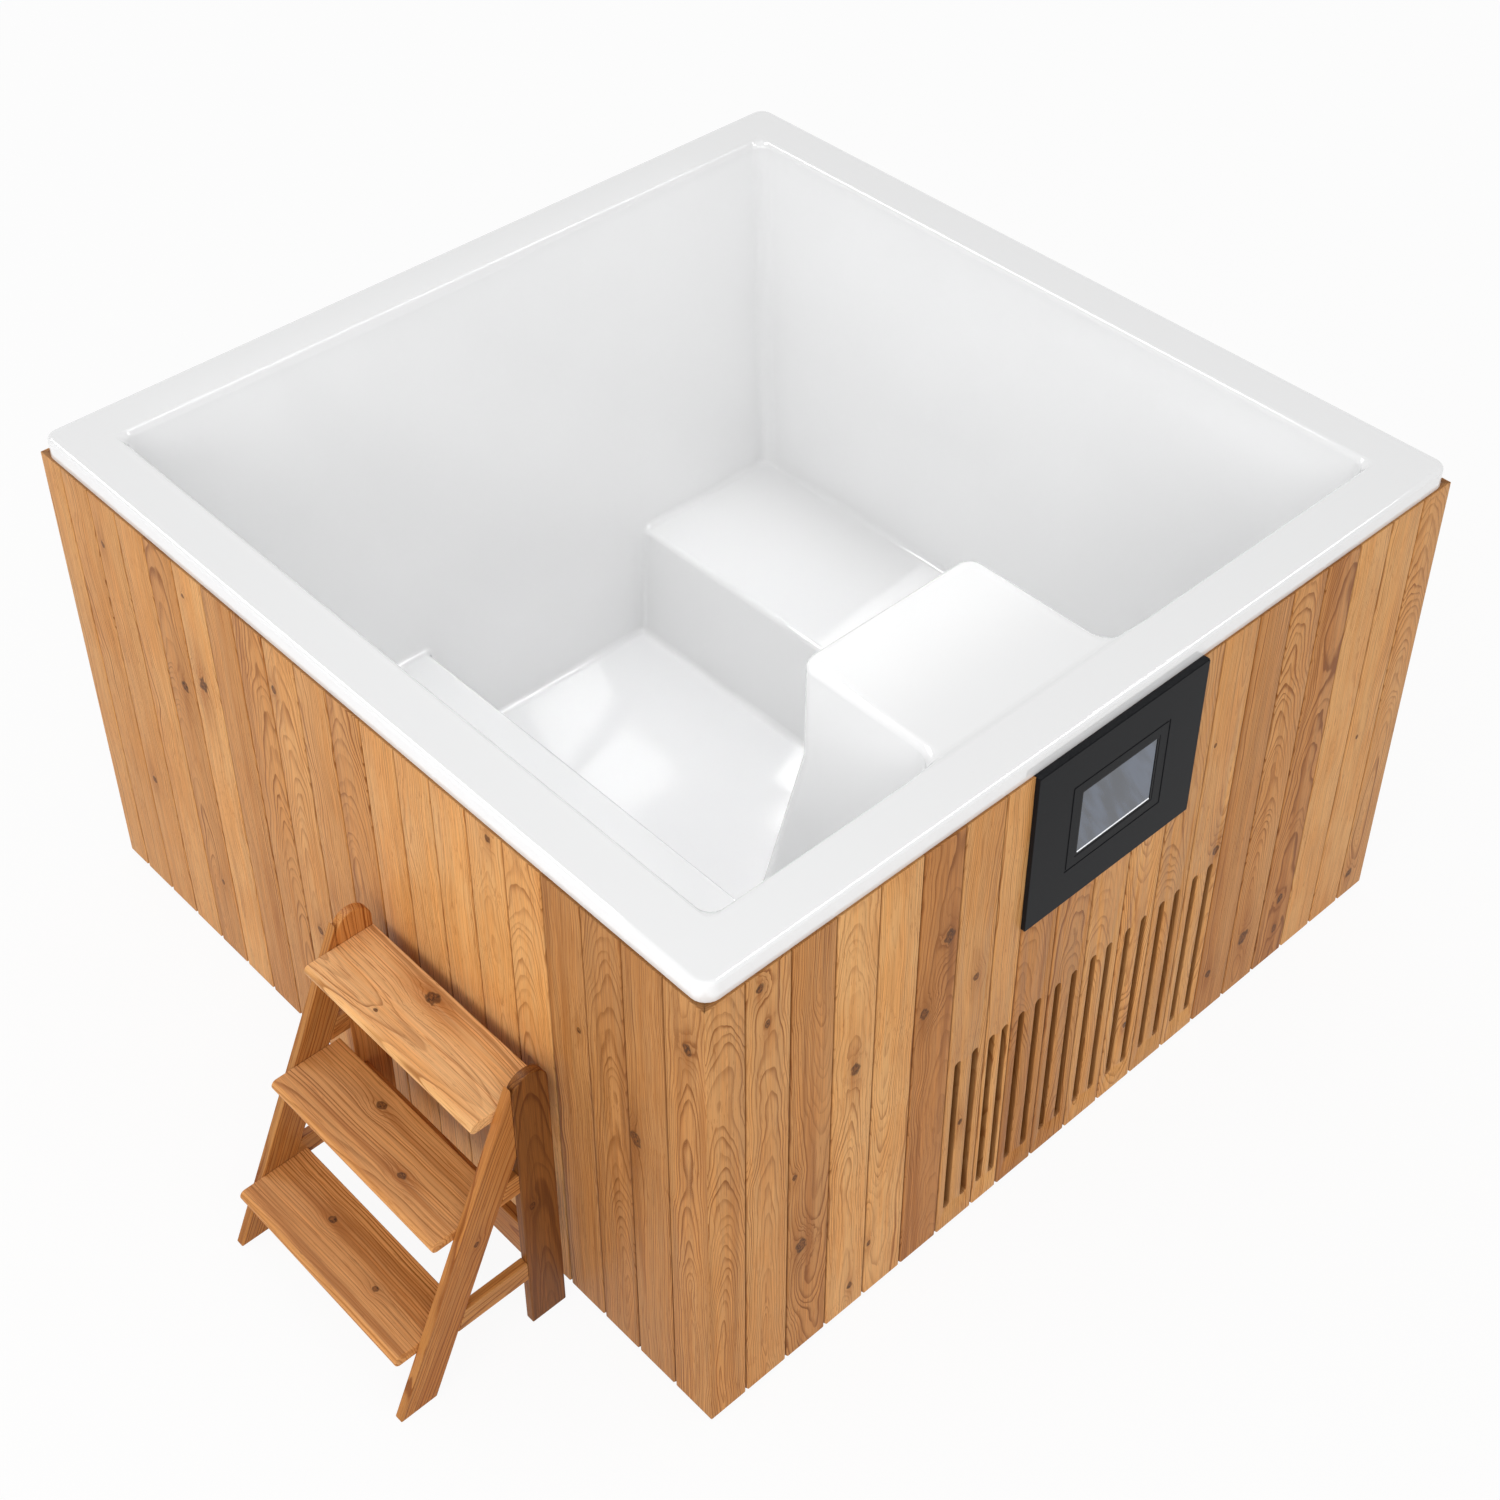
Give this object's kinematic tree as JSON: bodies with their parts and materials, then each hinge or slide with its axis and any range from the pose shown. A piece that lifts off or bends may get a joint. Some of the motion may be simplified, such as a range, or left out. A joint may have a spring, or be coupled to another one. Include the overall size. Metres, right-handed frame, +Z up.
{
  "type": "cold plunge tub",
  "caption": "Square cold plunge tub: white acrylic basin with bench and footwell in a boarded timber case, with chiller, filter, control panel, drain valve and a loose step stool.",
  "frame": {"origin": "centre of the tub's square plan, on the floor under the middle foot", "axes": "+Z up; the control panel faces -Y; the step stool stands at the left side, -X; the bench is at +X"},
  "size_m": [2.0155, 1.608, 0.954],
  "materials": {
    "acrylic": "gloss",
    "thermo_wood": "oiled",
    "stool_wood": "oiled",
    "softwood": "sawn",
    "base_sheet": "matte",
    "rubber": "matte",
    "foam": "matte",
    "black_steel": "powder coat",
    "panel_black": "matte",
    "screen_glass": "gloss",
    "zinc_steel": "zinc plated",
    "fin_alloy": "satin",
    "exchanger_shell": "matte",
    "copper": "satin",
    "motor_paint": "satin",
    "white_plastic": "satin",
    "paper": "matte",
    "lamp_steel": "polished",
    "valve_brass": "satin",
    "lever_red": "dipped"
  },
  "bodies": {
    "tub": {"basin_shell": "acrylic", "cladding_front": "thermo_wood", "cladding_back": "thermo_wood", "cladding_left": "thermo_wood", "cladding_right": "thermo_wood", "corner_posts": "softwood", "top_rails": "softwood", "bottom_rails": "softwood", "middle_rails": "softwood", "wall_studs": "softwood", "base_panel": "base_sheet", "rubber_feet": "rubber", "bench_bearers": "softwood", "step_bearers": "softwood", "insulation_panels": "foam", "vent_mesh": "black_steel", "control_fascia": "panel_black", "screen_bezel": "panel_black", "touch_screen": "screen_glass", "control_box": "panel_black", "fascia_nuts": "zinc_steel", "chiller_tray": "zinc_steel", "machine_shelf": "zinc_steel", "condenser_coil": "fin_alloy", "fan_shroud": "black_steel", "fan_motor": "black_steel", "compressor": "black_steel", "heat_exchanger": "exchanger_shell", "refrigerant_lines": "copper", "pump_motor": "motor_paint", "pump_volute": "panel_black", "suction_pipe": "white_plastic", "suction_cover": "white_plastic", "pump_pipe": "white_plastic", "link_pipes": "white_plastic", "filter_housing": "white_plastic", "filter_cartridge": "paper", "uv_lamp_unit": "lamp_steel", "return_pipe": "white_plastic", "return_jet": "white_plastic", "drain_fitting": "white_plastic", "drain_pipe": "white_plastic", "drain_valve": "valve_brass", "power_inlet": "panel_black"},
    "fan": {"fan_rotor": "panel_black"},
    "impeller": {"pump_impeller": "white_plastic"},
    "filter_cap": {"filter_lid": "panel_black"},
    "nozzle": {"jet_nozzle": "white_plastic"},
    "drain_handle": {"valve_ball": "lamp_steel", "drain_lever": "lever_red"},
    "socket_cover": {"inlet_cover": "panel_black"},
    "stool": {"stool_front_stiles": "stool_wood", "stool_rear_legs": "stool_wood", "stool_treads": "stool_wood", "stool_side_braces": "stool_wood", "stool_rear_rails": "stool_wood", "stool_dowels": "softwood"}
  },
  "joints": [
    {"name": "fan_spin", "type": "hinge", "parent": "tub", "child": "fan", "pos_m": [-0.185, -0.681, 0.21], "axis": [0, 1, 0], "continuous": true},
    {"name": "impeller_spin", "type": "hinge", "parent": "tub", "child": "impeller", "pos_m": [0.084, -0.47, 0.108], "axis": [0, 1, 0], "continuous": true},
    {"name": "filter_cap_turn", "type": "hinge", "parent": "tub", "child": "filter_cap", "pos_m": [0.005, -0.542, 0.536], "axis": [0, 0, 1], "range_deg": [0, 60]},
    {"name": "nozzle_tilt", "type": "hinge", "parent": "tub", "child": "nozzle", "pos_m": [-0.05318, -0.37982, 0.4851], "axis": [1, 0, 0], "range_deg": [-15, 15]},
    {"name": "drain_turn", "type": "hinge", "parent": "tub", "child": "drain_handle", "pos_m": [0.83, -0.3, 0.078], "axis": [0, 0, -1], "range_deg": [0, 90]},
    {"name": "socket_cover_lift", "type": "hinge", "parent": "tub", "child": "socket_cover", "pos_m": [0.812, -0.62, 0.283], "axis": [0, -1, 0], "range_deg": [0, 120]},
    {"name": "stool_pull", "type": "slide", "parent": "tub", "child": "stool", "axis": [-1, 0, 0], "range_m": [0, 0.5]}
  ]
}
